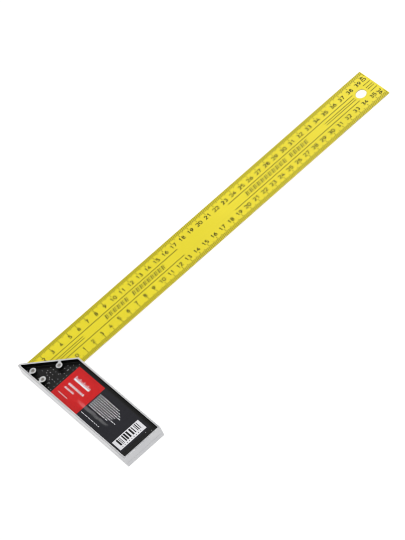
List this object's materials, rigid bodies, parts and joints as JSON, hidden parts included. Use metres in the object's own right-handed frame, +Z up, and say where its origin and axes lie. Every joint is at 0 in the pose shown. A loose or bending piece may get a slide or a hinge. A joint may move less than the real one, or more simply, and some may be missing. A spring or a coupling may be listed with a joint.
{
  "type": "try square",
  "caption": "Flat L-shaped square: a cast handle with a recess in each face and a mitred end, and a long yellow graduated steel blade riveted into it at a right angle.",
  "frame": {"origin": "centre of the bounding box's underside, with the tool lying flat and its numbered face up", "axes": "+X along the handle away from the blade, +Y along the blade away from the handle, +Z up out of the numbered face"},
  "size_m": [0.15, 0.401, 0.012],
  "materials": {
    "cast_aluminium": "satin, with ground rims and black lacquer in the recesses",
    "yellow_lacquer": "semi-gloss lacquer on steel",
    "rivet_steel": "dull",
    "label_film": "gloss printed film",
    "recess_lacquer": "gloss black lacquer over a pebbled casting",
    "scale_ink": "matt printing ink on lacquer"
  },
  "bodies": {
    "root": {"handle": "cast_aluminium", "blade": "yellow_lacquer", "heel_rivet": "rivet_steel", "middle_rivet": "rivet_steel", "mitre_rivet": "rivet_steel", "front_label": "label_film"}
  },
  "joints": []
}
